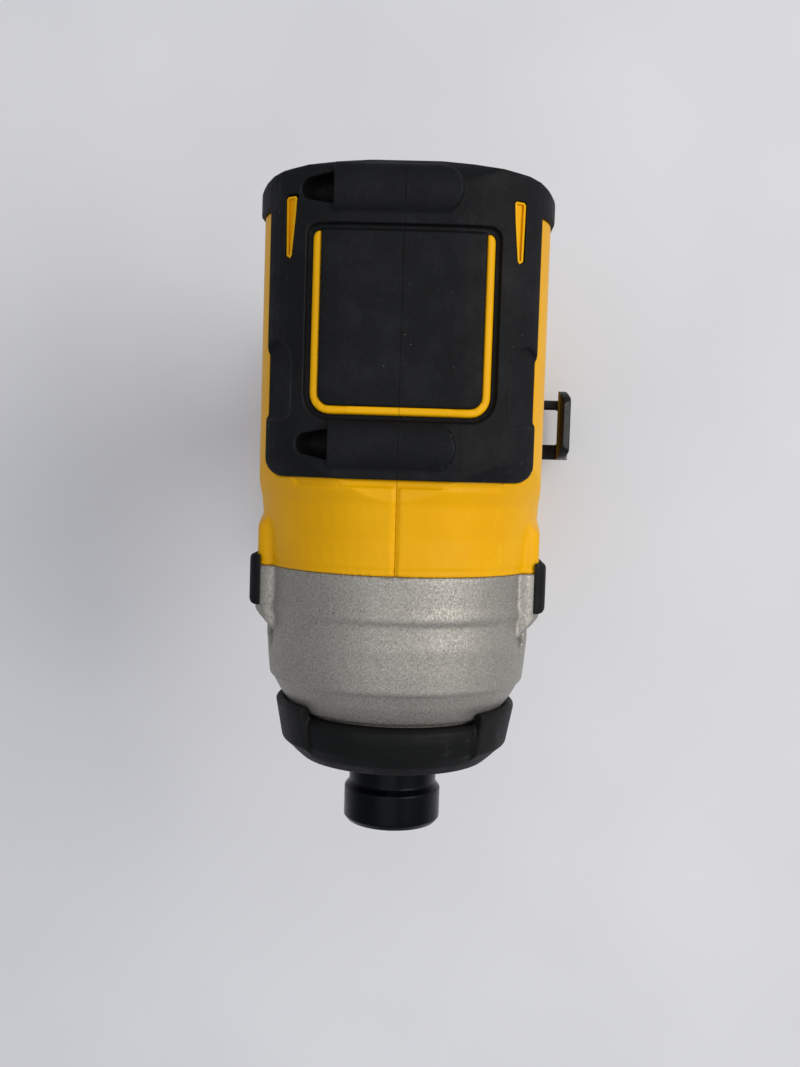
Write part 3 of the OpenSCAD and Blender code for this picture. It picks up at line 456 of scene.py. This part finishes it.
def recess_fill():
    """Columns that fill both recesses beyond their round ends, level with the rubber."""
    cells = []
    for centre in RECESS_X:
        for i in range(-FILL_ACROSS, FILL_ACROSS + 1):
            for k in range(FILL_ALONG):
                u, v = i * FILL_STEP, FILL_START_Y - k * FILL_STEP
                cone = CONE_WIDE - (CONE_WIDE - CONE_NARROW) * (CONE_START_Y - v) / CONE_LENGTH
                in_slit = SLIT_X[0] < centre + u < SLIT_X[1] and v < SLIT_INNER_Y
                if cone < 0.9 or abs(u) > cone + FILL_STEP or in_slit:
                    continue
                floor_z = RECESS_Z - math.sqrt(max(cone ** 2 - u ** 2, 0))
                top = rubber_top(v)
                end = RECESS_END + RECESS_ROUND * (1 - math.sqrt(max(1 - (u / RECESS_ROUND) ** 2, 0)))
                share = (v - end) / BOWL
                if share >= 1:
                    continue
                drop = math.sqrt(1 - (1 - max(share, 0)) ** 2)
                high = top - FILL_SUNK - (top - floor_z) * drop
                low = min(floor_z, top) - FILL_ROOT
                if high > low + FILL_LEAST:
                    cells.append((centre + u, v, low, high))
    return columns(cells, FILL_STEP)


for name in ("rear_overmould_left", "rear_overmould_right"):
    has_recess = min(v.co.y for v in nodes[name].data.vertices) < -10 * MM
    rounded_copy(name, 0.32, 5, True, recess_fill() if has_recess else None)

# The yellow band has a fine groove round it near its front edge
GROOVE_X, GROOVE_DEPTH, GROOVE_WIDTH = -57.9 * MM, 0.26 * MM, 0.3 * MM
BAND_LEAST_RADIUS = 27.4 * MM
for name in ("housing_left", "housing_right"):
    skin = rounded_copy(name, 0.4, 5, True)
    for v in skin.data.vertices:
        radius = math.hypot(v.co.y, v.co.z)
        if abs(v.co.x - GROOVE_X) < 4 * GROOVE_WIDTH and radius > BAND_LEAST_RADIUS:
            depth = GROOVE_DEPTH * math.exp(-((v.co.x - GROOVE_X) / GROOVE_WIDTH) ** 2)
            v.co.y *= 1 - depth / radius
            v.co.z *= 1 - depth / radius
for name in ("grip_left", "grip_right"):
    rounded_copy(name, 0.45, 8, True)

# Whole pieces: mesh size in mm and smoothing passes
rounding = {
    "gear_case": (0.4, 5), "nose_bumper": (0.3, 5), "side_bumper_left": (0.28, 9),
    "side_bumper_right": (0.28, 9), "collet_sleeve": (0.16, 5), "light_ring": (0.25, 4),
    "trigger": (0.35, 6), "selector_bar": (0.3, 5), "belt_hook": (0.3, 4),
}
for name, (voxel_mm, passes) in rounding.items():
    rounded_copy(name, voxel_mm, passes)


# Yellow linings of the two slits: a thin rim almost level with the rubber round a shallow pocket
SLIT = ((-129.75, 21.2), (-129.3, 20.95), (-126, 21.15), (-118.5, 21.85), (-117.95, 22.2),
        (-118.5, 22.95), (-129.3, 23.15), (-129.75, 22.8))
SLIT_RIM = 0.42
LINING_ROOT, LINING_EDGE, LINING_RIM, LINING_POCKET = 3.0, 0.45, 0.4, 1.15


def inset(loop, by):
    """A convex loop moved inward by a distance."""
    centre = Vector((sum(p[0] for p in loop), sum(p[1] for p in loop))) / len(loop)
    out = []
    for i, p in enumerate(loop):
        p, before, after = Vector(p), Vector(loop[i - 1]), Vector(loop[(i + 1) % len(loop)])
        one, two = (p - before).normalized(), (after - p).normalized()
        a, b = Vector((-one.y, one.x)), Vector((-two.y, two.x))
        a, b = (a if a.dot(centre - p) > 0 else -a), (b if b.dot(centre - p) > 0 else -b)
        move = (a + b) / max((a + b).length_squared / 2, 0.3)
        out.append(tuple(p + move * by))
    return out


for name, side in (("slit_lining_left", 1), ("slit_lining_right", -1)):
    inner = inset(SLIT, SLIT_RIM)
    rings = [[(x, y, rubber_top(y) - drop) for x, y in loop]
             for loop, drop in ((SLIT, LINING_ROOT), (SLIT, LINING_EDGE), (inner, LINING_RIM),
                                (inner, LINING_POCKET))]
    count = len(SLIT)
    verts = [(x * MM, side * y * MM, z * MM) for ring in rings for x, y, z in ring]
    faces = [(r * count + i, r * count + (i + 1) % count,
              (r + 1) * count + (i + 1) % count, (r + 1) * count + i)
             for r in range(len(rings) - 1) for i in range(count)]
    faces += [tuple(range(count)), tuple(range(3 * count, 4 * count))]
    mesh = bpy.data.meshes.new(name)
    mesh.from_pydata(verts, [], faces)
    work = bmesh.new()
    work.from_mesh(mesh)
    bmesh.ops.recalc_face_normals(work, faces=work.faces)
    bmesh.ops.bevel(work, geom=[e for e in work.edges if e.calc_face_angle(0) > 0.5], offset=0.1 * MM,
                    segments=2, affect="EDGES", profile=0.5)
    work.to_mesh(mesh)
    work.free()
    mesh.materials.append(looks["housing_yellow"])
    lining = bpy.data.objects.new(name, mesh)
    scene.collection.objects.link(lining)
    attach(lining, body_of["housing_left"])

# Coil springs, with the joint that presses them, fixed end and share of length left: each is a welded
# copy with its own mesh, not shortened here
springs = {
    "hammer_spring": ("hammer_slide", (-72.1 * MM, 0, 0), 0.56),
    "sleeve_spring": ("sleeve_slide", (-2.8 * MM, 0, 0), 0.14),
    "trigger_spring": ("trigger_pull", (-97 * MM, 0, -52 * MM), 0.13),
}
for name, (joint, fixed_end, share) in springs.items():
    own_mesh(stand_for(welded_copy(name), name))


# Floor, light and camera

FLOOR_Z = cad_box[0].z - 0.0002
FLOOR_REACH = 4.0
floor_mesh = bpy.data.meshes.new("floor")
floor_mesh.from_pydata([(x * FLOOR_REACH, y * FLOOR_REACH, FLOOR_Z)
                        for x, y in ((-1, -1), (1, -1), (1, 1), (-1, 1))], [], [(0, 1, 2, 3)])
floor = bpy.data.objects.new("floor", floor_mesh)
scene.collection.objects.link(floor)
paper = Tree("pale_floor")
blotch = paper.ramp(paper.noise(6, 3), 0.35, 0.7)
paper.set(color=paper.mix(blotch, srgb(214, 214, 217), srgb(224, 224, 226)), rough=0.75, specular=0.2)
floor_mesh.materials.append(paper.material)

world = bpy.data.worlds.new("soft_room")
scene.world = world
world.use_nodes = True
sky = next(n for n in world.node_tree.nodes if n.type == "BACKGROUND")
sky.inputs["Color"].default_value = (*srgb(214, 218, 226), 1)
sky.inputs["Strength"].default_value = 0.55

middle = Vector((-63.6 * MM, 0, 0))


def panel_light(name, place, size, power, color=(1, 1, 1)):
    """A rectangular lamp that faces the middle of the tool."""
    lamp = bpy.data.lights.new(name, "AREA")
    lamp.shape = "RECTANGLE"
    lamp.size, lamp.size_y = size
    lamp.energy = power
    lamp.color = color
    holder = bpy.data.objects.new(name, lamp)
    holder.location = place
    holder.rotation_euler = (middle - Vector(place)).to_track_quat("-Z", "Y").to_euler()
    scene.collection.objects.link(holder)


panel_light("window", (-0.25, 0.75, 0.75), (0.7, 0.7), 7.6, (1.0, 0.98, 0.95))
panel_light("ceiling", (-0.1, -0.2, 1.4), (1.2, 1.2), 5.6)

# The photograph looks down on the barrel: lens, distance, tilt to the rear, lean to the left and roll
LENS_MM = 40.5
DISTANCE = 262 * MM
TILT = math.radians(3.5)
LEAN = math.radians(1.8)
ROLL = math.radians(1.8)
look = Vector((math.sin(TILT), -math.sin(LEAN), -math.cos(TILT))).normalized()
up = Vector((-math.cos(ROLL), -math.sin(ROLL), 0))
right = look.cross(up).normalized()
up = right.cross(look).normalized()
camera_data = bpy.data.cameras.new("camera")
camera_data.lens = LENS_MM
camera_data.sensor_width = 36
camera_data.clip_start = 0.01
camera = bpy.data.objects.new("camera", camera_data)
camera.matrix_world = Matrix.Translation(middle - look * DISTANCE) @ Matrix(
    (right, up, -look)).transposed().to_4x4()
scene.collection.objects.link(camera)
scene.camera = camera
scene.view_settings.view_transform = "Standard"
